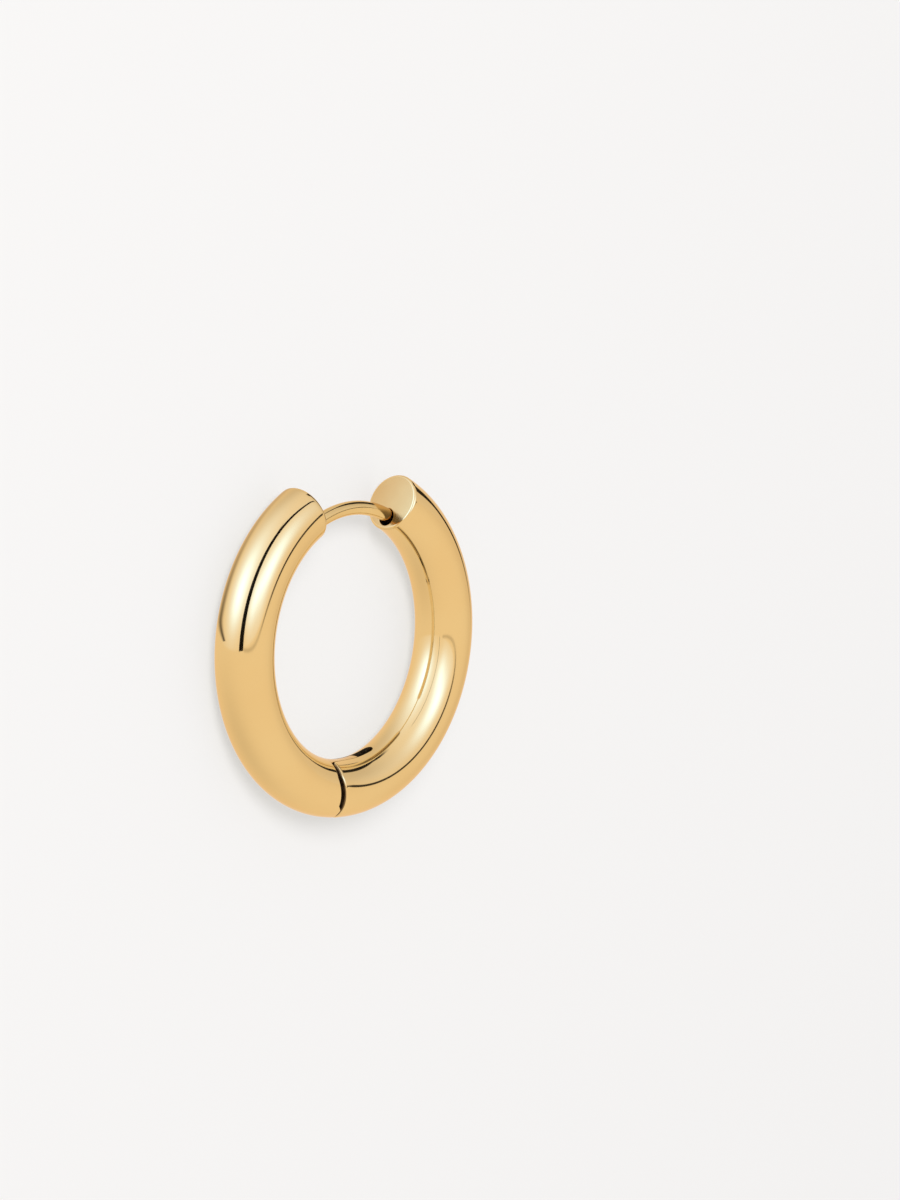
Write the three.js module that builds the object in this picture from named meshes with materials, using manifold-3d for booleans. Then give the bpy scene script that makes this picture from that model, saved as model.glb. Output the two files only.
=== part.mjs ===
// Hinged hoop earring, lying on its side. Two arcs of round bar meet at a hinge at the foot of the
// hoop (-Y). A curved ear post, soldered to one arc, bridges the open top (+Y) and plugs into a
// hole in the end of the other arc. The hinge lets the post arc swing outwards, so that the post
// leaves its hole.
// Millimetres, +Z up. The origin is the centre of the hoop, on the surface that it lies on.
import * as THREE from "three";
import { mergeVertices } from "three/addons/utils/BufferGeometryUtils.js";
import Module from "manifold-3d";

const wasm = await Module();
wasm.setup();

// ---- The hoop ----
const HOOP_OUTER_DIAMETER = 20;
const TUBE_DIAMETER = 3.3;
const TUBE_SIDES = 28; // a multiple of 4: a flat, not a corner, faces down, so the hoop lies still
const TUBE_STEP = 4; // degrees of the hoop to each straight length of the arc

// Places round the hoop are degrees anticlockwise from +X, seen from above.
const RECEIVER_END = 76.2;
const POST_ARC_END = 127;
const SEAM = -90;
const SEAM_SPARE = 12; // degrees that each arc runs past the seam before it is cut to it
const RECEIVER_RIM_ROUNDING = 0.14;
const POST_ARC_RIM_ROUNDING = 0.3;

// ---- The hinge ----
// The seam leans, its outer end towards the receiver. There the receiver ends in a knuckle, a
// cylinder about the pin that the lip of the post arc slides round as the hoop opens. Inside the
// pin the two faces are flat, and stand further apart. Near the hoop's inner side they turn square
// to the hoop.
const SEAM_LEAN = 19.3; // degrees from square to the hoop
const KNUCKLE_RADIUS = 0.93;
const LIP_GAP = 0.1; // between the knuckle and the lip
const FACE_GAP = 0.38; // between the flat faces
const LIP_DEPTH = 0.35; // along the seam, from the pin to where the faces are full apart
const SEAM_BEND = 2; // along the seam, from the pin to where the faces turn square
const PIN_FROM_SEAM = 0.95; // from the line on which the seam crosses the tube's centre line
const PIN_OUTWARDS = 1.15; // from the tube's centre line, along the seam
const PIN_DIAMETER = 0.6;
const PIN_LENGTH = 2;
const PIN_SIDES = 16;
const PIN_SEAT_CLEARANCE = 0.03; // radial, and at each end of the pin, in the receiver
const EYE_CLEARANCE = 0.05; // radial, between the pin and the tongue that turns on it
const TONGUE_WIDTH = 0.54;
const TONGUE_ROOT_WIDTH = 1.56; // where its top crosses the seam
const TONGUE_FLARE = [-0.6, 1.45]; // X from the full root width to the plain tongue
const TONGUE_END = -71.5; // degrees round the hoop
// Depths from the hoop's inner surface: the top of the tongue, the foot of its flare, its underside.
const TONGUE_BELOW_INSIDE = 0.04;
const TONGUE_TOP = 0.39;
const TONGUE_DEPTH = 2.16;
const EYE_RADIUS = 0.55; // outside of the tongue's eye
const SLOT_SIDE_CLEARANCE = 0.06;
const SLOT_END = 3.45; // X of its rounded end
const PAST_SLOT = -45; // degrees round the hoop
const SLOT_DEPTH = 2.4; // from the hoop's inner surface
const EYE_POCKET_CLEARANCE = 0.07;
const TONGUE_SWEEP = [150, 218]; // degrees about the pin that the tongue's underside passes

// ---- The ear post ----
const POST_DIAMETER = 0.8;
const POST_SIDES = 16;
const POST_CENTRE = [0.2, 0.37]; // of the arc that the post follows
const POST_BEND_RADIUS = 7.11;
const POST_TIP = 70.6; // degrees about that centre, at the middle of the round tip
const POST_ROOT = 136; // inside the post arc, where it is soldered
const HOLE_DIAMETER = 1.08;
const HOLE_INWARDS = 0.93; // from the tube's centre line
const HOLE_DEPTH = 1.7;

const GOLD = { color: 0xe0b45c, roughness: 0.12, metalness: 1 };
const STEEL = { color: 0xc9c4b8, roughness: 0.3, metalness: 1 };

const TUBE_RADIUS = TUBE_DIAMETER / 2;
const HOOP_RADIUS = HOOP_OUTER_DIAMETER / 2 - TUBE_RADIUS; // to the tube's centre line
const OUTSIDE = 4; // longer than the tube is thick: how far cutters reach past it
const CLEAR = 0.5; // how far a close-fitting cutter stands off the surface it cuts
const radians = THREE.MathUtils.degToRad;

// A flat circular arc at the height of the tube's centre line, as a path.
class LevelArc extends THREE.Curve {
  constructor([x, y], radius, from, to) {
    super();
    Object.assign(this, { x, y, radius, from: radians(from), to: radians(to) });
  }

  getPoint(t, target = new THREE.Vector3()) {
    const angle = THREE.MathUtils.lerp(this.from, this.to, t);
    const x = this.x + this.radius * Math.cos(angle);
    const y = this.y + this.radius * Math.sin(angle);
    return target.set(x, y, TUBE_RADIUS);
  }
}

// ---- Solids ----

function solidOf(geometry) {
  const bare = geometry.clone();
  bare.deleteAttribute("normal");
  bare.deleteAttribute("uv");
  const merged = mergeVertices(bare, 1e-4);
  const vertProperties = new Float32Array(merged.attributes.position.array);
  const triVerts = new Uint32Array(merged.index.array);
  return new wasm.Manifold(new wasm.Mesh({ numProp: 3, vertProperties, triVerts }));
}

function meshOf(solid, name, finish) {
  const { vertProperties, triVerts } = solid.getMesh();
  const geometry = new THREE.BufferGeometry();
  geometry.setAttribute("position", new THREE.BufferAttribute(vertProperties, 3));
  geometry.setIndex(new THREE.BufferAttribute(triVerts, 1));
  geometry.computeVertexNormals();
  const mesh = new THREE.Mesh(geometry, new THREE.MeshStandardMaterial(finish));
  mesh.name = name;
  return mesh;
}

// A regular polygon whose flats, not its corners, are at the radius.
function polygon(radius, sides) {
  const corner = radius / Math.cos(Math.PI / sides);
  const points = Array.from({ length: sides }, (_, i) => {
    const angle = ((i + 0.5) * 2 * Math.PI) / sides;
    return new THREE.Vector2(corner * Math.cos(angle), corner * Math.sin(angle));
  });
  return new THREE.Shape(points);
}

function barAlong(path, radius, sides, steps) {
  const options = { extrudePath: path, steps, bevelEnabled: false };
  return solidOf(new THREE.ExtrudeGeometry(polygon(radius, sides), options));
}

// An upright cylinder through the middle of the tube's height.
function uprightRod([x, y], radius, length) {
  const rod = new THREE.CylinderGeometry(radius, radius, length, PIN_SIDES);
  return solidOf(rod.rotateX(Math.PI / 2).translate(x, y, TUBE_RADIUS));
}

// A flat outline in plan, given thickness about the middle of the tube's height.
function slab(outline, width) {
  const options = { depth: width, bevelEnabled: false, curveSegments: 16 };
  const plate = new THREE.ExtrudeGeometry(outline, options);
  return plate.translate(0, 0, TUBE_RADIUS - width / 2);
}

// A sector of a flat ring about the hoop's centre.
function ringSector(inner, outer, from, to) {
  const outline = new THREE.Shape();
  outline.absarc(0, 0, outer, radians(from), radians(to), false);
  outline.absarc(0, 0, inner, radians(to), radians(from), true);
  return outline;
}

// ---- The arcs ----

function hoopArc(from, to) {
  const steps = Math.ceil((to - from) / TUBE_STEP);
  return barAlong(new LevelArc([0, 0], HOOP_RADIUS, from, to), TUBE_RADIUS, TUBE_SIDES, steps);
}

// Puts a shape made about the Y axis, with +Y leaving the bar, at an end of an arc. outwards is 1
// where the bar ends anticlockwise and -1 where it ends clockwise.
function atEnd(geometry, degrees, outwards, inwardsOffset = 0) {
  const radius = HOOP_RADIUS - inwardsOffset;
  const turn = radians(degrees) + (outwards < 0 ? Math.PI : 0);
  const x = radius * Math.cos(radians(degrees));
  const y = radius * Math.sin(radians(degrees));
  return solidOf(geometry.rotateZ(turn).translate(x, y, TUBE_RADIUS));
}

// What a rounded rim takes off the corner of an end face.
function rimCutter(rounding, degrees, outwards) {
  const corner = TUBE_RADIUS / Math.cos(Math.PI / TUBE_SIDES);
  const profile = new THREE.Path();
  profile.moveTo(corner - rounding, CLEAR);
  profile.lineTo(corner - rounding, 0);
  profile.absarc(corner - rounding, -rounding, rounding, Math.PI / 2, 0, true);
  profile.lineTo(corner + CLEAR, -rounding);
  profile.lineTo(corner + CLEAR, CLEAR);
  profile.lineTo(corner - rounding, CLEAR);
  const ring = profile.getPoints(4);
  const phase = Math.PI / TUBE_SIDES;
  return atEnd(new THREE.LatheGeometry(ring, TUBE_SIDES, phase), degrees, outwards);
}

// ---- The hinge ----

// Turns and moves a shape from the seam's own frame into the hoop's. There x crosses the seam
// into the receiver, y runs inwards along it, and the origin is the pin.
const seamTurn = radians(SEAM_LEAN);
const pin = new THREE.Vector2(PIN_FROM_SEAM, -PIN_OUTWARDS)
  .rotateAround(new THREE.Vector2(), seamTurn)
  .add(new THREE.Vector2(0, -HOOP_RADIUS));

function aboutPin(geometry) {
  return solidOf(geometry.rotateZ(seamTurn).translate(pin.x, pin.y, 0));
}

// Everything on one side of a face of the seam: outside the pin a cylinder about it, and inside
// the pin a flat, which stands off from the cylinder by a step.
function beyondSeam(radius, step, side) {
  const bend = new THREE.Vector2(-radius - step, SEAM_BEND);
  const square = new THREE.Vector2(Math.sin(seamTurn), Math.cos(seamTurn));
  const end = bend.clone().addScaledVector(square, OUTSIDE);
  const outline = new THREE.Shape();
  outline.moveTo(end.x, end.y);
  outline.lineTo(bend.x, bend.y);
  outline.lineTo(-radius - step, LIP_DEPTH);
  outline.lineTo(-radius, 0);
  outline.absarc(0, 0, radius, Math.PI, 1.5 * Math.PI, false);
  outline.lineTo(0, -OUTSIDE);
  outline.lineTo(side * 2 * OUTSIDE, -OUTSIDE);
  outline.lineTo(side * 2 * OUTSIDE, end.y);
  return aboutPin(slab(outline, 2 * OUTSIDE));
}

function disc(radius) {
  return new THREE.Shape().absarc(0, 0, radius, 0, 2 * Math.PI, false);
}

// The slot's outline, or with no clearance the tongue's, as it is seen from the middle of the hoop:
// flared towards the post arc and round at its end. It is carried through the tube.
function flaredPlate(clearance) {
  const [flareStart, flareEnd] = TONGUE_FLARE;
  const middle = (flareStart + flareEnd) / 2;
  const root = TONGUE_ROOT_WIDTH / 2 + clearance;
  const plain = TONGUE_WIDTH / 2 + clearance;
  const outline = new THREE.Shape();
  outline.moveTo(flareStart - CLEAR, root);
  outline.lineTo(flareStart - CLEAR, -root);
  outline.lineTo(flareStart, -root);
  outline.quadraticCurveTo(middle, -plain, flareEnd, -plain);
  outline.absarc(SLOT_END - plain, 0, plain, -Math.PI / 2, Math.PI / 2, false);
  outline.lineTo(flareEnd, plain);
  outline.quadraticCurveTo(middle, plain, flareStart, root);
  const options = { depth: HOOP_OUTER_DIAMETER / 2, bevelEnabled: false, curveSegments: 8 };
  const plate = new THREE.ExtrudeGeometry(outline, options);
  return solidOf(plate.rotateX(Math.PI / 2).translate(0, 0, TUBE_RADIUS));
}

// A curved block across the seam, between two depths from the hoop's inner surface.
function layer(from, to, end, width) {
  const inside = HOOP_RADIUS - TUBE_RADIUS;
  return solidOf(slab(ringSector(inside + from, inside + to, SEAM - SEAM_SPARE, end), width));
}

// The pocket in the receiver: a slot open to the inside of the hoop, a round seat for the eye, and
// the wedge that the tongue's underside sweeps as the hoop opens.
function hingeSlot() {
  const width = TONGUE_WIDTH + 2 * SLOT_SIDE_CLEARANCE;
  const seat = aboutPin(slab(disc(EYE_RADIUS + EYE_POCKET_CLEARANCE), width));
  const [from, to] = TONGUE_SWEEP.map((degrees) => radians(degrees) - seamTurn);
  const sweep = new THREE.Shape();
  sweep.absarc(0, 0, KNUCKLE_RADIUS + LIP_GAP, from, to, false);
  sweep.lineTo(0, 0);
  return layer(-CLEAR, SLOT_DEPTH, PAST_SLOT, TUBE_DIAMETER)
    .intersect(flaredPlate(SLOT_SIDE_CLEARANCE))
    .add(seat)
    .add(aboutPin(slab(sweep, width)));
}

// The tongue of the post arc: a flat bar that crosses the seam, with an eye for the pin under it
// and a flared top that keeps to the tube's round.
function tongue() {
  const top = layer(TONGUE_BELOW_INSIDE, TONGUE_TOP, TONGUE_END, TUBE_DIAMETER)
    .intersect(flaredPlate(0))
    .intersect(hoopArc(SEAM - SEAM_SPARE, TONGUE_END));
  const bar = layer(TONGUE_BELOW_INSIDE, TONGUE_DEPTH, TONGUE_END, TONGUE_WIDTH);
  const eye = aboutPin(slab(disc(EYE_RADIUS), TONGUE_WIDTH));
  return top.add(bar).add(eye);
}

// ---- The ear post ----

function earPost() {
  const path = new LevelArc(POST_CENTRE, POST_BEND_RADIUS, POST_TIP, POST_ROOT);
  const steps = Math.ceil((POST_ROOT - POST_TIP) / TUBE_STEP);
  const wire = barAlong(path, POST_DIAMETER / 2, POST_SIDES, steps);
  const tip = new THREE.SphereGeometry(POST_DIAMETER / 2, POST_SIDES, POST_SIDES / 2);
  const { x, y, z } = path.getPoint(0);
  return wire.add(solidOf(tip.translate(x, y, z)));
}

function postHole() {
  const drill = new THREE.CylinderGeometry(
    HOLE_DIAMETER / 2,
    HOLE_DIAMETER / 2,
    2 * HOLE_DEPTH,
    POST_SIDES,
  );
  return atEnd(drill, RECEIVER_END, 1, HOLE_INWARDS);
}

// ---- The pieces ----

function receiverHalf() {
  const pinSeat = uprightRod(
    pin,
    PIN_DIAMETER / 2 + PIN_SEAT_CLEARANCE,
    PIN_LENGTH + 2 * PIN_SEAT_CLEARANCE,
  );
  const solid = hoopArc(SEAM - SEAM_SPARE, RECEIVER_END)
    .subtract(beyondSeam(KNUCKLE_RADIUS, 0, -1))
    .subtract(hingeSlot())
    .subtract(pinSeat)
    .subtract(rimCutter(RECEIVER_RIM_ROUNDING, RECEIVER_END, 1))
    .subtract(postHole());
  return meshOf(solid, "receiver_half", GOLD);
}

function postHalf() {
  const eyeHole = uprightRod(pin, PIN_DIAMETER / 2 + EYE_CLEARANCE, OUTSIDE);
  const solid = hoopArc(POST_ARC_END, 360 + SEAM + SEAM_SPARE)
    .subtract(beyondSeam(KNUCKLE_RADIUS + LIP_GAP, FACE_GAP - LIP_GAP, 1))
    .subtract(rimCutter(POST_ARC_RIM_ROUNDING, POST_ARC_END, -1))
    .add(tongue())
    .subtract(eyeHole)
    .add(earPost());
  return meshOf(solid, "post_half", GOLD);
}

function hingePin() {
  return meshOf(uprightRod(pin, PIN_DIAMETER / 2, PIN_LENGTH), "hinge_pin", STEEL);
}

const hoop = new THREE.Group();
hoop.add(receiverHalf(), postHalf(), hingePin());

export default hoop;
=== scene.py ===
# Hinged hoop earring of polished gold-coloured bar, lying on its side: a receiver arc with a slot
# and a post hole, a post arc with its ear post and hinge tongue, and the pin that joins them.
# Metres in Blender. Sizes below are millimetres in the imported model's frame, with the hoop's
# centre at x = y = 0, the hinge at -Y, the open top at +Y, and the table at z = 0.
import math

import bmesh
import bpy
import numpy as np
from mathutils import Matrix, Vector


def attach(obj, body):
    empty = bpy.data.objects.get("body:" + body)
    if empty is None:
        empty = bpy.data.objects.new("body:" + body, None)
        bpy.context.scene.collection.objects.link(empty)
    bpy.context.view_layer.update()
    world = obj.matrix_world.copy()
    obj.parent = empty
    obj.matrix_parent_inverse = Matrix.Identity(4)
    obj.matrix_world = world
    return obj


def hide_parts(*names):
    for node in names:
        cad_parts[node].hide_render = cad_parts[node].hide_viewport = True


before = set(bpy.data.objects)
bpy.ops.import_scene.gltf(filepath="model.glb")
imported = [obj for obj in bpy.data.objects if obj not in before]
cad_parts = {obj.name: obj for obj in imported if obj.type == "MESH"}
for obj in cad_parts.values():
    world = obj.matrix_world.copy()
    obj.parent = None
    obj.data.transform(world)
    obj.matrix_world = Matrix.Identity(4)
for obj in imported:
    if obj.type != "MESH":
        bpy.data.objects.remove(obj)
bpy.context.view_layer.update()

# ---- Receiver arc ----
# The longer part of the hoop: round bar bent to an arc and polished, with the post hole drilled in
# its top end. A slot for the hinge tongue is cut into its inside at the seam. Its rims are eased.
TUBE_RADIUS = 1.65
HOOP_RADIUS = 8.35  # to the middle of the bar
RECEIVER_TOP = math.radians(76.2)
RECEIVER_RIM_EASE = 0.14
RECEIVER_END_CROWN = 0.08  # fall of the end face from its middle to its rim
SEAM_EASE = 0.15
SEAM_LEAN = math.radians(19.3)
KNUCKLE_RADIUS = 0.93
LIP_DEPTH = 0.35  # along the seam, inwards from the pin, to where its faces are full apart
SEAM_BEND = 2.0  # along the seam to where its faces turn square to the hoop
SEAM_INNER_END = 1.5  # from there to the end of the line, past the bar
KNUCKLE_SWEEP = 1.37  # radians about the pin, from the lip to past the bar's outer side
PIN_POSITION = np.array([1.2767, -9.1214])  # x, y
SLOT_HALF_WIDTH = 0.33
SLOT_ROOT_HALF_WIDTH = 0.84
SLOT_FLARE = (-0.6, 1.45)  # x from the full root width to the plain slot
SLOT_REACH = 6.75  # from the hoop's centre to the slot's mouth
SLOT_END_MIDDLE = 3.12  # x of the middle of its round end
DEEP_FLOOR = 1.4  # outwards from the middle of the bar, round the eye of the tongue
SHALLOW_FLOOR = 0.75
SLOT_STEP = math.radians(-77.5)
SLOT_EDGE_EASE = 0.03
HOLE_RADIUS = 0.5
HOLE_INWARDS = 0.92  # from the middle of the bar
HOLE_EASE = 0.05
HOLE_DEPTH = 1.7
QUARTER = np.linspace(0, math.pi / 2, 7)  # a rounded edge, from one face to the next


def on_hoop(angle, outwards, upwards):
    """Points at an angle round the hoop, so far outwards from and above the bar's middle."""
    angle, outwards, upwards = np.broadcast_arrays(angle, outwards, upwards)
    reach = HOOP_RADIUS + outwards
    place = [reach * np.cos(angle), reach * np.sin(angle), TUBE_RADIUS + upwards]
    return np.stack(place, axis=-1)


def between(start, end, shares):
    """Straight blends from each start to each end, one row for each share."""
    start, end = np.broadcast_arrays(start, end)
    return start + np.multiply.outer(np.asarray(shares, float), end - start)


def seam_line(radius, step):
    """A face of the seam in plan: part of a circle about the pin, a ramp that steps back from it, a
    flat, and a length square to the hoop. Gives distances from the hoop's centre, and angles."""
    turn = np.linspace(KNUCKLE_SWEEP, 0, 40)[:, None]
    knuckle = -radius * np.concatenate([np.cos(turn), np.sin(turn)], axis=1)
    flat = -radius - step
    corners = np.array([[-radius, 0], [flat, LIP_DEPTH], [flat, SEAM_BEND], [flat, SEAM_BEND]])
    corners[3] += SEAM_INNER_END * np.array([math.sin(SEAM_LEAN), math.cos(SEAM_LEAN)])
    straights = between(corners[:-1], corners[1:], np.linspace(0, 1, 20)[1:])
    line = np.concatenate([knuckle, np.swapaxes(straights, 0, 1).reshape(-1, 2)])
    sine, cosine = math.sin(SEAM_LEAN), math.cos(SEAM_LEAN)
    x, y = (line @ np.array([[cosine, sine], [-sine, cosine]]) + PIN_POSITION).T
    return np.hypot(x, y)[::-1], np.arctan2(y, x)[::-1]


def seam_angle(outwards, line):
    """Angle at which a line along the bar, so far outwards from its middle, meets the seam."""
    return np.interp(HOOP_RADIUS + outwards, *line)


def slot_half(angle):
    """Half the slot's width: the plain width, and the flare as a square that dies away from its
    root, which is level with the seam, to the plain slot."""
    start, end = SLOT_FLARE
    share = np.clip((end - SLOT_REACH * np.cos(angle)) / (end - start), 0, 1)
    return SLOT_HALF_WIDTH + (SLOT_ROOT_HALF_WIDTH - SLOT_HALF_WIDTH) * share**2


def slot_edge(radius, setback, line):
    """Where the slot's wall meets rings of the seam's eased rim, by trial: outwards, angle and half
    width. Each trial takes the width at the angle of the trial before."""
    half = SLOT_HALF_WIDTH + 0 * radius
    for _ in range(12):
        outwards = -np.sqrt(radius**2 - half**2)
        angle = seam_angle(outwards, line) + setback / (HOOP_RADIUS + outwards)
        half = slot_half(angle)
    return outwards, angle, half


def add_piece(name, *finishes):
    """Joins grids of points into one mesh: neighbours make quads, and shared rims are merged, which
    closes it. Each list of grids takes the material of its own number."""
    points, faces, finish, first = [], [], [], 0
    for number, grids in enumerate(finishes):
        for grid in grids:
            index = first + np.arange(grid.shape[0] * grid.shape[1]).reshape(grid.shape[:2])
            quads = [index[:-1, :-1], index[1:, :-1], index[1:, 1:], index[:-1, 1:]]
            faces.append(np.stack(quads, axis=-1).reshape(-1, 4))
            finish.append(np.full(len(faces[-1]), number, dtype=np.int32))
            points.append(grid.reshape(-1, 3))
            first += index.size
    mesh = bpy.data.meshes.new(name)
    mesh.from_pydata((np.concatenate(points) / 1000).tolist(), [], np.concatenate(faces).tolist())
    mesh.polygons.foreach_set("material_index", np.concatenate(finish))
    shell = bmesh.new()
    shell.from_mesh(mesh)
    bmesh.ops.remove_doubles(shell, verts=shell.verts, dist=3e-7)
    bmesh.ops.recalc_face_normals(shell, faces=shell.faces)
    shell.to_mesh(mesh)
    shell.free()
    mesh.shade_smooth()
    mesh.set_sharp_from_angle(angle=math.radians(35))
    piece = bpy.data.objects.new(name, mesh)
    bpy.context.scene.collection.objects.link(piece)
    return piece


def add_node(tree, kind, *inputs, **settings):
    """Adds a node and its settings, sets its inputs in order from sockets or values, and gives its
    first output."""
    node = tree.nodes.new("ShaderNode" + kind)
    for name, value in settings.items():
        setattr(node, name, value)
    for socket, value in zip(node.inputs, inputs):
        if isinstance(value, bpy.types.NodeSocket):
            tree.links.new(value, socket)
        elif value is not None:
            socket.default_value = value
    return node.outputs[0]


def polished_metal(name, colour, deep_colour, roughness, grain, waviness):
    """Plated metal: cloudy colour between two tones, hazier and clearer patches, and the faint
    unevenness that a polishing wheel leaves. The grain is the clouds' scale, and the waviness is
    the depth of the unevenness in metres."""
    material = bpy.data.materials.new(name)
    material.use_nodes = True
    tree = material.node_tree
    shader = tree.nodes["Principled BSDF"]
    shader.inputs["Metallic"].default_value = 1
    shader.inputs["Specular Tint"].default_value = (1, 0.84, 0.66, 1)  # keeps it warm edge-on
    place = tree.nodes.new("ShaderNodeTexCoord").outputs["Object"]
    cloud = add_node(tree, "TexNoise", place, None, grain, 3.0)
    tint = add_node(tree, "MapRange", cloud, 0.35, 0.65, 0.0, 1.0)
    mix = tree.nodes.new("ShaderNodeMix")
    mix.data_type = "RGBA"
    mix.inputs["A"].default_value = (*deep_colour, 1)
    mix.inputs["B"].default_value = (*colour, 1)
    tree.links.new(tint, mix.inputs["Factor"])
    tree.links.new(mix.outputs["Result"], shader.inputs["Base Color"])
    haze = add_node(tree, "TexNoise", place, None, grain * 4, 4.0)
    hazy = add_node(tree, "MapRange", haze, 0.3, 0.7, roughness * 0.8, roughness * 1.25)
    tree.links.new(hazy, shader.inputs["Roughness"])
    swell = add_node(tree, "TexNoise", place, None, grain * 1.6, 2.0)
    bump = tree.nodes.new("ShaderNodeBump")
    bump.inputs["Strength"].default_value = 1
    bump.inputs["Distance"].default_value = waviness
    tree.links.new(swell, bump.inputs["Height"])
    tree.links.new(bump.outputs["Normal"], shader.inputs["Normal"])
    return material


# Round the bar, from the outermost line to the wall of the slot, in steps that have a line where
# each floor of the slot meets the seam's face.
receiver_seam = seam_line(KNUCKLE_RADIUS, 0)
ease_radius = TUBE_RADIUS - SEAM_EASE * (1 - np.cos(QUARTER))
ease_setback = SEAM_EASE * (1 - np.sin(QUARTER))
edge_out, edge_angle, edge_half = slot_edge(ease_radius, ease_setback, receiver_seam)
face_radius = ease_radius[-1]
deep_turn = math.acos(DEEP_FLOOR / face_radius)
shallow_turn = math.acos(SHALLOW_FLOOR / face_radius)
wall_turn = math.pi - math.asin(edge_half[-1] / face_radius)
turns = np.concatenate(
    [
        np.linspace(0, deep_turn, 11),
        np.linspace(deep_turn, shallow_turn, 15)[1:],
        np.linspace(shallow_turn, wall_turn, 39)[1:],
    ]
)
turns = np.concatenate([-turns[:0:-1], turns])
DEEP_LINE, SHALLOW_LINE, WALL_LINE = 10, 24, 62  # counted from the outermost line


def open_ring(radius, half):
    """The bar's section at a radius, stopping at the slot's walls: outwards and upwards."""
    turn = turns * (math.pi - np.arcsin(half / radius)) / wall_turn
    return radius * np.cos(turn), radius * np.sin(turn)


# The seam's face in section, from its outermost line to the slot's wall.
face_out, face_up = (half[WALL_LINE:] for half in open_ring(face_radius, edge_half[-1]))
face_angle = seam_angle(face_out, receiver_seam)

# Along the bar, as shares of three lengths: from the seam to the step in the slot's floor, on to
# the corner of the slot's round end, and on to the eased rim at the top.
to_step = np.concatenate([[0, 0.012], np.linspace(0.08, 1, 18)])
to_slot_end = np.linspace(0, 1, 12)
to_top = np.linspace(0, 1, 110)
slot_corner = -math.acos(SLOT_END_MIDDLE / (HOOP_RADIUS - TUBE_RADIUS))
slot_angles = between(SLOT_STEP, slot_corner, to_slot_end)[:, None]
top_fall = RECEIVER_RIM_EASE + RECEIVER_END_CROWN * (TUBE_RADIUS / face_radius) ** 2
top_start = RECEIVER_TOP - top_fall / HOOP_RADIUS

# Across the slot, from wall to wall, and where each of these lines meets its round end.
across = np.cos(np.linspace(0, math.pi, 17))
strip_up = SLOT_HALF_WIDTH * across
strip_out = -np.sqrt(TUBE_RADIUS**2 - strip_up**2)
round_end = SLOT_END_MIDDLE + np.sqrt(SLOT_HALF_WIDTH**2 - strip_up**2)
end_angles = -np.arccos(round_end / (HOOP_RADIUS - TUBE_RADIUS))


def seam_rim():
    """The skin's eased rim at the seam: rings of the bar that shrink and step back from the seam's
    line as a quarter circle does. Gives their angles and points, from the face outwards."""
    out, up = open_ring(ease_radius[::-1, None], edge_half[::-1, None])
    angles = seam_angle(out, receiver_seam) + ease_setback[::-1, None] / (HOOP_RADIUS + out)
    return angles, on_hoop(angles, out, up)


def receiver_skin(seam_angles):
    """The bar's skin above the seam's rim, open along the slot: rings that turn from the seam's
    line to square at the step in the slot, and stay square up to the top."""
    hinge_angles = between(seam_angles, SLOT_STEP, to_step)[1:]
    hinge = on_hoop(hinge_angles, *open_ring(TUBE_RADIUS, slot_half(hinge_angles[:, -1:])))
    top_angles = between(slot_corner, top_start, to_top)[:, None]
    angles = np.concatenate([slot_angles[1:], top_angles[1:]])
    return np.concatenate([hinge, on_hoop(angles, *open_ring(TUBE_RADIUS, SLOT_HALF_WIDTH))])


def top_end(last_ring):
    """The face of the top end: an eased rim, and rings whose middle and radius pass from the rim's
    to the eased hole's, crowned as a square of the distance from the bar's middle. Then the bore,
    rings that go straight down and close at its end."""
    slot_turn = math.pi - math.asin(SLOT_HALF_WIDTH / TUBE_RADIUS)
    inner_turns = math.pi - np.arcsin(strip_up / TUBE_RADIUS)
    circle = np.concatenate([turns * slot_turn / wall_turn, inner_turns[1:]])
    rim_radius = TUBE_RADIUS - RECEIVER_RIM_EASE * (1 - np.cos(QUARTER))
    rim_depth = RECEIVER_RIM_EASE * (1 - np.sin(QUARTER))
    wide, narrow = rim_radius[-1], HOLE_RADIUS + HOLE_EASE
    passing = np.array([0.015, 0.2, 0.4, 0.6, 0.8, 0.95, 0.99, 1])
    hole_radius = narrow - HOLE_EASE * np.sin(QUARTER)
    hole_depth = HOLE_EASE * (1 - np.cos(QUARTER))
    ring_centre = np.concatenate([0 * rim_radius, passing, 1 + 0 * hole_radius]) * -HOLE_INWARDS
    ring_radius = np.concatenate([rim_radius, wide + (narrow - wide) * passing, hole_radius])
    ring_depth = np.concatenate([rim_depth, 0 * passing, hole_depth])
    along = np.array([-math.sin(RECEIVER_TOP), math.cos(RECEIVER_TOP), 0])

    def rings(centre, radius, depth):
        """Circles about a middle, so far down into the bar from the crowned face."""
        out = centre + radius[:, None] * np.cos(circle)
        up = radius[:, None] * np.sin(circle)
        fall = depth[:, None] + RECEIVER_END_CROWN * (out**2 + up**2) / wide**2
        return on_hoop(RECEIVER_TOP, out, up) - fall[..., None] * along

    end = rings(ring_centre[:, None], ring_radius, ring_depth)
    end[0] = last_ring
    bore_depth = np.array([hole_depth[-1], 0.1, 0.5, 1, HOLE_DEPTH, HOLE_DEPTH, HOLE_DEPTH])
    bore_radius = HOLE_RADIUS * np.array([1, 1, 1, 1, 1, 0.5, 0])
    return end, rings(-HOLE_INWARDS, bore_radius, bore_depth)


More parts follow.
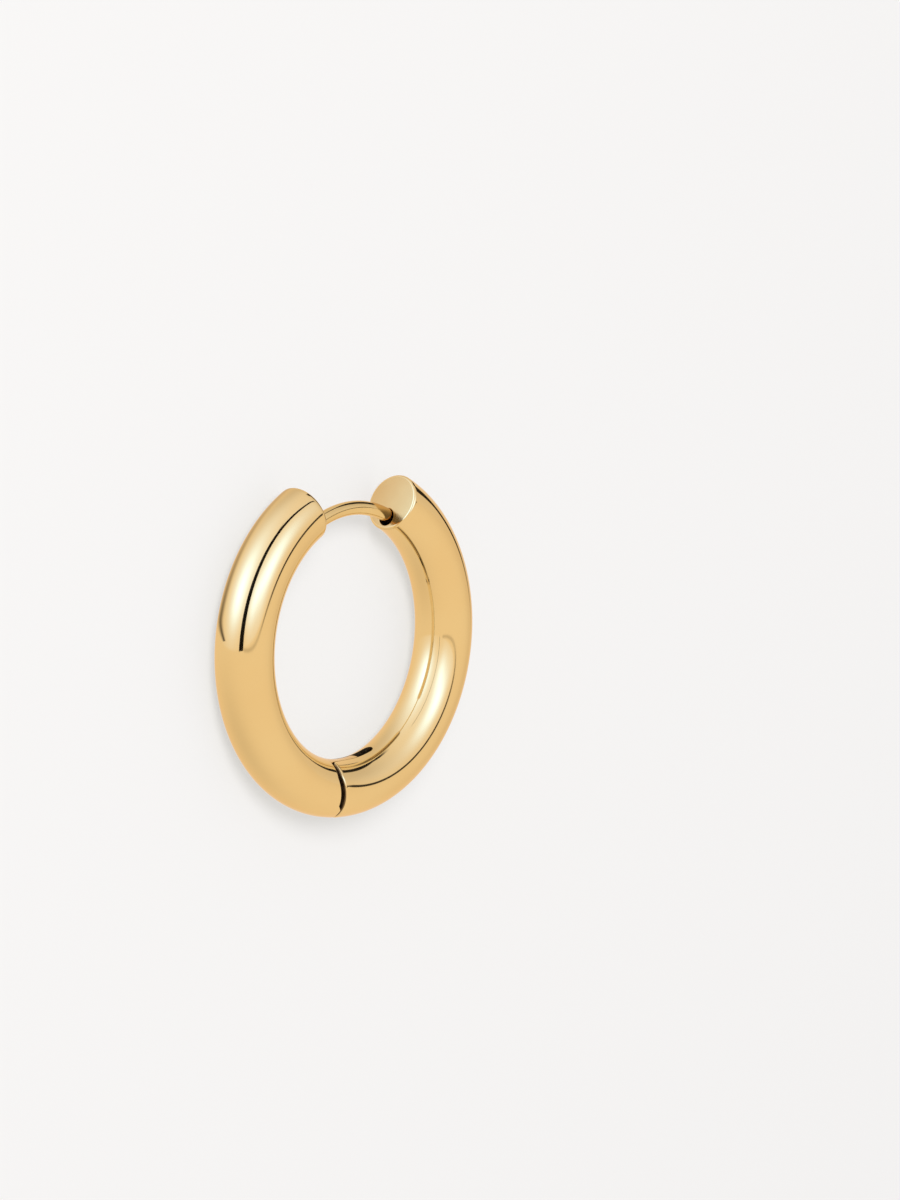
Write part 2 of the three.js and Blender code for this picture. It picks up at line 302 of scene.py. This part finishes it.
def slot_surfaces():
    """The slot's walls, which start on the rim and the skin and go straight down; the deep floor
    round the tongue's eye, the step, the shallow floor and the round end."""
    floorwards = slice(WALL_LINE - 1, DEEP_LINE - 1, -1)
    wall_out = np.concatenate([edge_out, face_out[floorwards]])
    wall_start = np.concatenate([edge_angle, face_angle[floorwards]])
    deep_angles = between(wall_start, SLOT_STEP, to_step)
    deep_half = slot_half(deep_angles)
    lift = -np.sqrt(TUBE_RADIUS**2 - deep_half[:, :1] ** 2) - wall_out[0]
    deep_out = wall_out + lift * np.clip(1 - np.arange(len(wall_out)) / len(ease_radius), 0, 1)
    shallow = len(ease_radius) + WALL_LINE - SHALLOW_LINE  # rows of wall down to that floor
    shallow_out = deep_out[-1, :shallow]
    slot = []
    for side in (-1, 1):
        slot.append(on_hoop(deep_angles, deep_out, side * deep_half))
        slot.append(on_hoop(slot_angles, shallow_out, side * SLOT_HALF_WIDTH))
    slot.append(on_hoop(deep_angles[:, -1], DEEP_FLOOR, across[:, None] * deep_half[:, -1]))
    slot.append(on_hoop(SLOT_STEP, deep_out[-1, shallow - 1 :], strip_up[:, None]))
    slot.append(on_hoop(between(SLOT_STEP, end_angles, to_slot_end), SHALLOW_FLOOR, strip_up))
    share = (shallow_out - shallow_out[0]) / (SHALLOW_FLOOR - shallow_out[0])
    slot.append(on_hoop(end_angles, between(strip_out, SHALLOW_FLOOR, share), strip_up))
    return slot


def seam_face():
    """The seam's face as lines straight across: full chords outwards of the slot's deep floor, and
    from there a cheek on each side of the slot."""
    cheek = np.array([0, 0.5, 0.96, 1])
    face_half = slot_half(face_angle)
    edge = between(face_half[DEEP_LINE], face_up[DEEP_LINE], cheek)
    mouth = across[::-1][1:-1] * face_half[DEEP_LINE]
    chord = np.concatenate([-edge[::-1], mouth, edge]) / face_up[DEEP_LINE]
    outer = slice(0, DEEP_LINE + 1)
    face = [on_hoop(face_angle[outer, None], face_out[outer, None], face_up[outer, None] * chord)]
    rest = slice(DEEP_LINE, None)
    for side in (-1, 1):
        up = side * between(face_half[rest], face_up[rest], cheek).T
        face.append(on_hoop(face_angle[rest, None], face_out[rest, None], up))
    return face


def receiver_arc():
    """The receiver's surfaces joined. The skin and its rims are polished, and the end face has its
    own rougher finish, darker in colour as painted shade. The slot, the bore, the seam's face and
    the half rim next to it are rough as cut, and dark with painted shade for the shadow in them."""
    seam_angles, rim = seam_rim()
    polished_rim = len(QUARTER) // 2
    skin = np.concatenate([rim[polished_rim:], receiver_skin(seam_angles[-1])])
    strip = on_hoop(between(end_angles, top_start, to_top), strip_out, strip_up)
    end, bore = top_end(np.concatenate([skin[-1], strip[-1, 1:]]))
    polished = [skin, strip, end[: len(QUARTER)]]
    shaded_hollows = [rim[: polished_rim + 1], bore, *slot_surfaces(), *seam_face()]
    return add_piece("receiver_arc", polished, shaded_hollows, [end[len(QUARTER) - 1 :]])


receiver = receiver_arc()
polished_gold = polished_metal(
    "polished_gold", (0.95, 0.628, 0.26), (0.94, 0.608, 0.245),
    roughness=0.06, grain=260, waviness=1.5e-7,
)
# Rough gold as cut, for the slot, the bore and the seam's faces: dark with painted shade of
# hollows.
shaded_hollow_gold = polished_metal(
    "shaded_hollow_gold", (0.34, 0.2, 0.08), (0.26, 0.15, 0.06),
    roughness=0.45, grain=900, waviness=8e-7,
)
# The receiver's end face, rougher as faced, with its colour darkened as painted shade of what it
# mirrors.
shaded_faced_gold = polished_metal(
    "shaded_faced_gold", (0.8, 0.46, 0.155), (0.77, 0.43, 0.14),
    roughness=0.2, grain=700, waviness=3e-7,
)
for finish in (polished_gold, shaded_hollow_gold, shaded_faced_gold):
    receiver.data.materials.append(finish)
softened = receiver.modifiers.new("softened_slot_edges", "BEVEL")
softened.width = SLOT_EDGE_EASE / 1000
softened.segments = 2
softened.limit_method = "ANGLE"
softened.angle_limit = math.radians(50)
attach(receiver, "receiver")
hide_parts("receiver_half")

# ---- Post arc ----
# The shorter part of the hoop, of the same bar. Its top end is closed and well rounded where the
# ear post comes out, and its lower end is hollowed to slide round the receiver's knuckle.
POST_ARC_TOP = math.radians(127)
POST_ARC_RIM_EASE = 0.3
POST_ARC_SEAM_EASE = 0.05
LIP_GAP = 0.1  # between the knuckle and the lip that slides round it
FACE_GAP = 0.38  # between the seam's flat faces
post_arc_seam = seam_line(KNUCKLE_RADIUS + LIP_GAP, FACE_GAP - LIP_GAP)


def post_arc_bar():
    """Rings of full round section. The bar's blend from the top to the seam's line, the top end's
    shrink and step up as a quarter circle does, and so do the seam rim's. Then straight lines
    across the seam's face."""
    circle = np.linspace(-math.pi, math.pi, 145)
    out, up = TUBE_RADIUS * np.cos(circle), TUBE_RADIUS * np.sin(circle)
    seam = seam_angle(out, post_arc_seam) - POST_ARC_SEAM_EASE / (HOOP_RADIUS + out) + 2 * math.pi
    top = POST_ARC_TOP + POST_ARC_RIM_EASE / HOOP_RADIUS
    bar = on_hoop(between(top, seam, np.append(np.linspace(0, 0.97, 120), [0.998, 1])), out, up)

    radius = TUBE_RADIUS - POST_ARC_RIM_EASE * (1 - np.cos(QUARTER))
    depth = POST_ARC_RIM_EASE * (1 - np.sin(QUARTER))
    radius = np.append(radius, radius[-1] * np.array([0.98, 0.7, 0.4, 0]))
    depth = np.append(depth, np.zeros(4))
    along = np.array([-math.sin(POST_ARC_TOP), math.cos(POST_ARC_TOP), 0])
    top_out, top_up = radius[:, None] * np.cos(circle), radius[:, None] * np.sin(circle)
    top_end = on_hoop(POST_ARC_TOP, top_out, top_up) + depth[:, None, None] * along
    top_end[0] = bar[0]

    radius = TUBE_RADIUS - POST_ARC_SEAM_EASE * (1 - np.cos(QUARTER))
    setback = POST_ARC_SEAM_EASE * (1 - np.sin(QUARTER))
    rim_out, rim_up = radius[:, None] * np.cos(circle), radius[:, None] * np.sin(circle)
    angle = seam_angle(rim_out, post_arc_seam) - setback[:, None] / (HOOP_RADIUS + rim_out)
    rim = on_hoop(angle, rim_out, rim_up)
    half = slice(len(circle) // 2, None)  # from the outermost line to the innermost
    chord = np.concatenate([[-1, -0.985], np.linspace(-0.9, 0.9, 9), [0.985, 1]])
    face_out = rim_out[-1, half, None]
    face_angle = seam_angle(face_out, post_arc_seam)
    face = on_hoop(face_angle, face_out, rim_up[-1, half, None] * chord)
    return add_piece("post_arc_bar", [bar, top_end], [rim, face])


post_arc = post_arc_bar()
post_arc.data.materials.append(polished_gold)
# The seam's rim and face take the rough gold as cut, dark with painted shade for the shadow in the
# seam.
post_arc.data.materials.append(shaded_hollow_gold)
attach(post_arc, "post_arc")
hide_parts("post_half")

# ---- Ear post ----
# Gold-coloured wire, thin enough for a pierced ear, bent to an arc and soldered into the post
# arc's rounded end. Its other end is a plain round tip that plugs into the receiver's hole.
POST_CENTRE = (0.2, 0.37)  # x, y of the middle of its bend
POST_BEND = 7.11  # radius to the middle of the wire
POST_RADIUS = 0.4
POST_TIP = math.radians(70.6)
POST_ROOT = math.radians(136)
SOLDER_LINE = math.radians(130.08)
SOLDER_FILLET = 0.1


def ear_post():
    """A round tube along an arc. Its radius closes as a half sphere at the tip, and swells as a
    quarter circle where the solder climbs it."""
    tip = POST_TIP - POST_RADIUS * np.cos(np.linspace(0, math.pi / 2, 13)) / POST_BEND
    tip_radius = POST_RADIUS * np.sin(np.linspace(0, math.pi / 2, 13))
    shank = np.linspace(POST_TIP, SOLDER_LINE - SOLDER_FILLET / POST_BEND, 90)[1:]
    climb = SOLDER_LINE - SOLDER_FILLET * (1 - np.sin(QUARTER[1:])) / POST_BEND
    swell = POST_RADIUS + SOLDER_FILLET * (1 - np.cos(QUARTER[1:]))
    angle = np.concatenate([tip, shank, climb, [POST_ROOT, POST_ROOT]])
    radius = np.concatenate([tip_radius, np.full(shank.shape, POST_RADIUS), swell])
    radius = np.append(radius, [swell[-1], 0])
    circle = np.linspace(0, 2 * math.pi, 41)
    reach = POST_BEND + radius[:, None] * np.cos(circle)
    x = POST_CENTRE[0] + reach * np.cos(angle)[:, None]
    y = POST_CENTRE[1] + reach * np.sin(angle)[:, None]
    z = TUBE_RADIUS + radius[:, None] * np.sin(circle)
    return add_piece("ear_post", [np.stack([x, y, z], axis=-1)])


post = ear_post()
wire_gold = polished_metal(
    "wire_gold", (0.93, 0.61, 0.24), (0.9, 0.57, 0.215),
    roughness=0.09, grain=500, waviness=2e-7,
)
post.data.materials.append(wire_gold)
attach(post, "post_arc")

# ---- Hinge tongue ----
# A flat gold-coloured lug, cast with the post arc, that crosses the seam into the receiver's slot.
# Its top is flared there and flush with the bar, and the eye under it turns on the pin.
TONGUE_HALF_WIDTH = 0.27
TONGUE_SIDE_CLEARANCE = 0.06
TONGUE_TOP_RADIUS = 1.64  # about the middle of the bar
TONGUE_FLARE_FOOT = (-1.3, -1.2)  # outwards, where the flared top gives way to the plain lug
TONGUE_UNDERSIDE = 0.51
TONGUE_ANGLES = (math.radians(-101), math.radians(-71.5))
EYE_INNER, EYE_OUTER = 0.35, 0.52
TONGUE_EDGE_EASE = 0.05


def tongue_arm():
    """A curved bar about the hoop's centre. Its section is a stack of straight lines across, as
    wide as the slot less its clearance at the top and plain below, under a rounded top."""
    angle = np.linspace(*TONGUE_ANGLES, 60)[:, None]
    lines = np.linspace(-1, 1, 13)
    flared = slot_half(angle) - TONGUE_SIDE_CLEARANCE
    top_up = flared * lines
    top_out = -np.sqrt(TONGUE_TOP_RADIUS**2 - top_up**2)
    out = np.array([-1.4, *TONGUE_FLARE_FOOT, -0.9, -0.5, 0, TONGUE_UNDERSIDE])
    half = np.where(out <= TONGUE_FLARE_FOOT[0], flared, TONGUE_HALF_WIDTH)
    side_out = np.concatenate([top_out[:, :1], np.broadcast_to(out, half.shape)], axis=1)
    side_up = np.concatenate([flared, half], axis=1)
    underside = on_hoop(angle, TONGUE_UNDERSIDE, half[:, -1:] * lines)
    sides = [on_hoop(angle, side_out, side * side_up) for side in (-1, 1)]
    ends = []
    for end in (0, -1):
        end_out = np.concatenate([top_out[end][None], side_out[end, 1:, None] + 0 * lines[None]])
        ends.append(on_hoop(angle[end], end_out, side_up[end][:, None] * lines))
    return add_piece("hinge_tongue", [on_hoop(angle, top_out, top_up), underside, *sides, *ends])


def tongue_eye():
    """A short tube about the pin: a rectangle of wall and width, carried round the pin."""
    wall = np.array([EYE_INNER, EYE_OUTER, EYE_OUTER, EYE_INNER, EYE_INNER])
    width = TONGUE_HALF_WIDTH * np.array([-1, -1, 1, 1, -1])
    turn = np.linspace(0, 2 * math.pi, 49)[:, None]
    x = PIN_POSITION[0] + wall * np.cos(turn)
    y = PIN_POSITION[1] + wall * np.sin(turn)
    z = TUBE_RADIUS + width + 0 * turn
    return add_piece("hinge_eye", [np.stack([x, y, z], axis=-1)])


satin_gold = polished_metal(
    "satin_gold", (0.9, 0.58, 0.23), (0.84, 0.52, 0.2),
    roughness=0.16, grain=700, waviness=4e-7,
)
for lug in (tongue_arm(), tongue_eye()):
    lug.data.materials.append(satin_gold)
    eased = lug.modifiers.new("eased_edges", "BEVEL")
    eased.width = TONGUE_EDGE_EASE / 1000
    eased.segments = 3
    eased.limit_method = "ANGLE"
    eased.angle_limit = math.radians(50)
    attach(lug, "post_arc")

# ---- Hinge pin ----
# A short piece of drawn steel wire, fixed across the receiver's slot and through the tongue's eye.
# It is hidden when the hoop is closed.
drawn_steel = polished_metal(
    "drawn_steel", (0.7, 0.68, 0.64), (0.6, 0.58, 0.55),
    roughness=0.25, grain=900, waviness=3e-7,
)
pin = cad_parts["hinge_pin"]
pin.data.materials.clear()
pin.data.materials.append(drawn_steel)

# ---- Table ----
# A plain pale table top, matt and faintly lit from below, much wider than the view.
TABLE_COLOUR = (0.915, 0.898, 0.88)
TABLE_GLOW = 0.5  # share of its brightness
TABLE_HALF_WIDTH = 2500
table_line = np.linspace(-TABLE_HALF_WIDTH, TABLE_HALF_WIDTH, 5)
table_x, table_y = np.meshgrid(table_line, table_line)
table = add_piece("table", [np.stack([table_x, table_y, 0 * table_x], axis=-1)])
matt = bpy.data.materials.new("matt_table")
matt.use_nodes = True
matt_shader = matt.node_tree.nodes["Principled BSDF"]
matt_shader.inputs["Base Color"].default_value = (*(1 - TABLE_GLOW) * np.array(TABLE_COLOUR), 1)
matt_shader.inputs["Emission Color"].default_value = (*TABLE_COLOUR, 1)
matt_shader.inputs["Emission Strength"].default_value = TABLE_GLOW
matt_shader.inputs["Roughness"].default_value = 1
matt_shader.inputs["Specular IOR Level"].default_value = 0
table.data.materials.append(matt)
table.visible_glossy = False

# ---- Black flags ----
# Strips beside the post arc, which only the polished metal mirrors: a curved one of black gauze
# stands off the arc's outer side and makes its long black line, and one lies under that side as
# painted shadow, the table's shade under the bar as the metal mirrors it.
STANDING_REACH = 12.5  # from the hoop's centre
STANDING_ANGLES = np.radians(np.linspace(108, 190.3, 60))
STANDING_LEVEL = 2.55  # of its middle, over the bar's
STANDING_LIFT = 1.7  # what its end beside the ear post has over that
STANDING_LIFT_END = 0.48  # share of the way along, where the lift has died away
STANDING_HALF_WIDTH, STANDING_WIDENING = 0.2, 0.45  # beside the ear post, and up to the far end
STANDING_WEAVE = 0.99
LYING_REACH = np.linspace(9.2, 11.4, 25)
LYING_ANGLES = np.radians(np.linspace(112, 187, 60))
LYING_BEND_START = LYING_ANGLES[52]
LYING_BEND = 1.4  # outwards, 8 degrees on from there
LYING_MIDDLE, LYING_SPREAD = 9.95, 0.45  # where its painted shadow is darkest, and how far that reaches
LYING_SHADOW_DEPTH, LYING_SHADOW_DEEPENING = 0.2, 0.7  # depth of the painted shadow beside the ear post, and what it gains up to the far end


def weave_and_shadow(flag, density):
    """Sets how dark a flag is at each point, from 0, which is clear, to 1: the weave of the
    standing gauze, and the depth of the lying strip's painted shadow.
    """
    density = np.broadcast_to(density, len(flag.data.vertices))
    flag.data.attributes.new("weave_and_shadow", "FLOAT", "POINT").data.foreach_set("value", density)
    return flag


def standing_flag():
    """An upright strip round the hoop. Its middle is level, and lifts as a square towards the ear
    post, where the strip is narrower."""
    along = np.linspace(-0.065, 1, len(STANDING_ANGLES))
    lift = STANDING_LIFT * np.maximum(1 - along / STANDING_LIFT_END, 0) ** 2
    half = STANDING_HALF_WIDTH + STANDING_WIDENING * along
    up = STANDING_LEVEL + lift + np.multiply.outer([-1, 0, 1], half)
    strip = on_hoop(STANDING_ANGLES, STANDING_REACH - HOOP_RADIUS, up)
    return weave_and_shadow(add_piece("standing_flag", [strip]), STANDING_WEAVE)


def lying_shadow_flag():
    """A flat strip round the hoop, on the table, that bends outwards as a square at its far end:
    painted shadow, the table's shade under the bar as the metal mirrors it. Its darkness thins as
    a bell curve on each side of a line, and as a square towards the ear post."""
    past = np.maximum((LYING_ANGLES - LYING_BEND_START) / math.radians(8), 0)
    out = LYING_REACH[:, None] - HOOP_RADIUS + LYING_BEND * past**2
    bell = np.exp(-(((LYING_REACH - LYING_MIDDLE) / LYING_SPREAD) ** 2))
    along = np.linspace(0, 1, len(LYING_ANGLES))
    density = np.outer(bell, LYING_SHADOW_DEPTH + LYING_SHADOW_DEEPENING * along**2)
    strip = on_hoop(LYING_ANGLES, out, -TUBE_RADIUS)
    return weave_and_shadow(add_piece("lying_shadow_flag", [strip]), density.ravel())


def black_gauze_and_shadow():
    """Black by the share that its density gives, and clear for the rest: the weave of the standing
    gauze, and the painted shadow of the lying strip. It is clear too to light that has met metal
    twice, and to light from the other side of the hoop."""
    gauze_and_shadow = bpy.data.materials.new("black_gauze_and_shadow")
    gauze_and_shadow.use_nodes = True
    tree = gauze_and_shadow.node_tree
    black = tree.nodes["Principled BSDF"]
    black.inputs["Base Color"].default_value = (0, 0, 0, 1)
    black.inputs["Specular IOR Level"].default_value = 0
    light_path = tree.nodes.new("ShaderNodeLightPath").outputs
    once = add_node(tree, "MapRange", light_path["Ray Depth"], 1.1, 1.9, 1.0, 0.0)
    near = add_node(tree, "MapRange", light_path["Ray Length"], 0.01, 0.012, 1.0, 0.0)
    flag_density = tree.nodes.new("ShaderNodeAttribute")
    flag_density.attribute_name = "weave_and_shadow"
    share = add_node(tree, "Math", once, near, operation="MULTIPLY")
    share = add_node(tree, "Math", share, flag_density.outputs["Fac"], operation="MULTIPLY")
    clear = add_node(tree, "BsdfTransparent")
    flag_shader = add_node(tree, "MixShader", share, clear, black.outputs[0])
    tree.links.new(flag_shader, tree.nodes["Material Output"].inputs["Surface"])
    return gauze_and_shadow


gauze_and_shadow = black_gauze_and_shadow()
for flag in (standing_flag(), lying_shadow_flag()):
    flag.data.materials.append(gauze_and_shadow)
    flag.visible_camera = flag.visible_diffuse = flag.visible_shadow = False

# ---- Studio ----
# A tent of white cloth round the hoop. Lamps behind its +Y side make warm pools on it, above and
# below a dark join of the cloths. Overhead are a dark slit between them and a rail.
CLOTH_LEVEL = 0.88
POOL_COLOUR = (0.1, 0.36, 1.0)  # what the lamps add to the white cloth
# azimuth, elevation, strength and spread of each pool of light
POOLS = (
    (117.5, 63.2, 2.35, 19.3),
    (162.5, 51.9, 1.94, 15.7),
    (118, 80, 0.5, 20),
    (55, 45, 0.3, 45),
    (162, -10.6, 2.02, 22.2),
    (148.2, -12, 1.26, 39.9),
)
# the same for the places where the cloth is in shade, which is taken off as a share
SHADES = ((48, 18, 0.27, 30), (84, -30, 0.22, 28), (-105, -25, 0.16, 40), (-3, 8, 0.12, 20))
SELF_COLOUR = (0.34, 0.5, 1.0)  # of the metal mirrored in itself, before it tints that again
MATT_LEVEL = 0.62  # of the whole tent, as it lights the table

studio = bpy.data.worlds.new("studio")
bpy.context.scene.world = studio
studio.use_nodes = True
tent = studio.node_tree
ray = tent.nodes.new("ShaderNodeTexCoord").outputs["Generated"]
ray_path = tent.nodes.new("ShaderNodeLightPath").outputs


def towards(azimuth, elevation=0):
    """Unit vector towards a place on the tent, in degrees."""
    a, e = math.radians(azimuth), math.radians(elevation)
    return Vector((math.cos(a) * math.cos(e), math.sin(a) * math.cos(e), math.sin(e)))


def maths(operation, a, b=0.0, c=0.0):
    """A math node on sockets or numbers."""
    return add_node(tent, "Math", a, b, c, operation=operation)


def product(first, *others):
    """Shares multiplied together."""
    for other in others:
        first = maths("MULTIPLY", first, other)
    return first


def facing(direction):
    """Cosine of the angle between a direction and the ray's."""
    node = tent.nodes.new("ShaderNodeVectorMath")
    node.operation = "DOT_PRODUCT"
    tent.links.new(ray, node.inputs[0])
    node.inputs[1].default_value = direction
    return node.outputs["Value"]


def ramp(value, low, high, start=0.0, end=1.0):
    """The start below low, the end above high, and a smooth step between them."""
    return add_node(
        tent, "MapRange", value, low, high, start, end, interpolation_type="SMOOTHSTEP", clamp=True
    )


def glow(azimuth, elevation, strength, spread):
    """Brightness that dies away with the angle from a direction: strength times the exponent of
    minus two (1 - cosine) over the spread squared."""
    fall = 2 / math.radians(spread) ** 2
    power = maths("MULTIPLY_ADD", facing(towards(azimuth, elevation)), fall, -fall)
    return maths("MULTIPLY", maths("EXPONENT", power), strength)


def strip_across(side, value, half, soft):
    """1 where a side's cosine is within half a width of a value, and 0 outside."""
    offset = maths("ABSOLUTE", maths("SUBTRACT", facing(side), value))
    return ramp(maths("SUBTRACT", offset, half), soft, -soft)


def light(colour, strength):
    """An even light from the tent, of a strength from a socket or a number."""
    return add_node(tent, "Background", (*colour, 1), strength)


def choose(share, otherwise, shader):
    """One shader where the share is 1, and the other where it is 0."""
    return add_node(tent, "MixShader", share, otherwise, shader)


# the join, which runs between the pools as far as the lamps reach
lamp_side = facing(towards(105))
edge_of_lamps = ramp(lamp_side, -0.02, 0.02)
join = product(
    strip_across(towards(-16, 64), 0.073, 0.012, 0.01),
    ramp(facing(towards(190)), 0.17, 0.27, 0, 0.65),
    edge_of_lamps,
)

# the rail, which is broader towards one end
rail_end = facing(towards(45))
rail_middle = ramp(rail_end, 0.88, 0.97, 0.04, -0.03)
rail_half = ramp(rail_end, 0.9, 0.975, 0.085, 0.23)
rail = product(
    strip_across(towards(-41, 84.5), rail_middle, rail_half, 0.015),
    ramp(rail_end, 0.72, 0.87, 0, 0.97),
)

# the slit, which opens towards one end and stops well above the tent's foot
slit_end = facing(towards(10))
slit_half = ramp(slit_end, 0.25, 0.7, 0.016, 0.048)
slit = product(
    strip_across(towards(107, 10), 0.12, slit_half, 0.012),
    ramp(slit_end, 0.05, 0.55, 0.3, 0.95),
    ramp(facing(towards(0, 90)), 0.605, 0.62),
)

# the lit cloth between them, as polished metal mirrors it: the pools reach no farther than the
# lamps do, and the shades take off a share of both
dark = maths("MAXIMUM", maths("MAXIMUM", slit, rail), join)
open_cloth = maths("SUBTRACT", 1.0, dark)
for shade in SHADES:
    open_cloth = product(open_cloth, maths("SUBTRACT", 1.0, glow(*shade)))
pools = glow(*POOLS[0])
for pool in POOLS[1:]:
    pools = maths("ADD", pools, glow(*pool))
lit = maths("MULTIPLY_ADD", edge_of_lamps, 0.45, ramp(lamp_side, 0, 0.4, 0, 0.55))
cloth_light = light((1, 1, 1), product(open_cloth, CLOTH_LEVEL))
pool_light = light(POOL_COLOUR, product(pools, lit, open_cloth))
mirrored = add_node(tent, "AddShader", cloth_light, pool_light)

# what metal mirrors of metal, what lights the table, and what is behind the table
self_level = ramp(facing(towards(175, 15)), 0.5, 0.85, 2.4, 0.45)
self_level = product(self_level, maths("MULTIPLY_ADD", slit, -0.9, 1))
mirrored_again = ramp(ray_path["Ray Depth"], 2.1, 2.9)
surroundings = choose(mirrored_again, mirrored, light(SELF_COLOUR, self_level))
surroundings = choose(ray_path["Is Diffuse Ray"], surroundings, light((1, 1, 1), MATT_LEVEL))
surroundings = choose(ray_path["Is Camera Ray"], surroundings, light(TABLE_COLOUR, 1.0))
tent.links.new(surroundings, tent.nodes["World Output"].inputs["Surface"])

# A large soft lamp over the post arc's side of the table, which gives the hoop its shadow.
LAMP_PLACE = Vector((-0.402, 0.231, 0.552))  # metres
lamp_data = bpy.data.lights.new("soft_lamp", "AREA")
lamp_data.shape = "DISK"
lamp_data.size = 0.36
lamp_data.energy = 2.8
lamp = bpy.data.objects.new("soft_lamp", lamp_data)
lamp.location = LAMP_PLACE
lamp.rotation_mode = "QUATERNION"
lamp.rotation_quaternion = (-LAMP_PLACE).to_track_quat("-Z", "Y")
lamp.visible_glossy = False
bpy.context.scene.collection.objects.link(lamp)

# ---- Camera ----
# A long lens, looking down on the hoop from its post side, turned so that the hinge is at the
# foot of the view.
CAMERA_AZIMUTH, CAMERA_ELEVATION, CAMERA_ROLL = -179.0723, 39.9945, 97.938  # degrees
CAMERA_DISTANCE = 286.381
CAMERA_AIM = (8.414, 3.1684, TUBE_RADIUS)
lens = bpy.data.cameras.new("camera")
lens.lens = 150
lens.sensor_width = 36
lens.clip_start, lens.clip_end = 0.01, 20
camera = bpy.data.objects.new("camera", lens)
back = towards(CAMERA_AZIMUTH, CAMERA_ELEVATION)
camera.location = (Vector(CAMERA_AIM) + back * CAMERA_DISTANCE) / 1000
camera.rotation_mode = "QUATERNION"
sideways = Vector((0, 0, 1)).cross(back).normalized()
level_axes = Matrix((sideways, back.cross(sideways), back)).transposed()
roll = Matrix.Rotation(math.radians(CAMERA_ROLL), 3, "Z")
camera.rotation_quaternion = (level_axes @ roll).to_quaternion()
bpy.context.scene.collection.objects.link(camera)
bpy.context.scene.camera = camera
bpy.context.scene.view_settings.view_transform = "Standard"
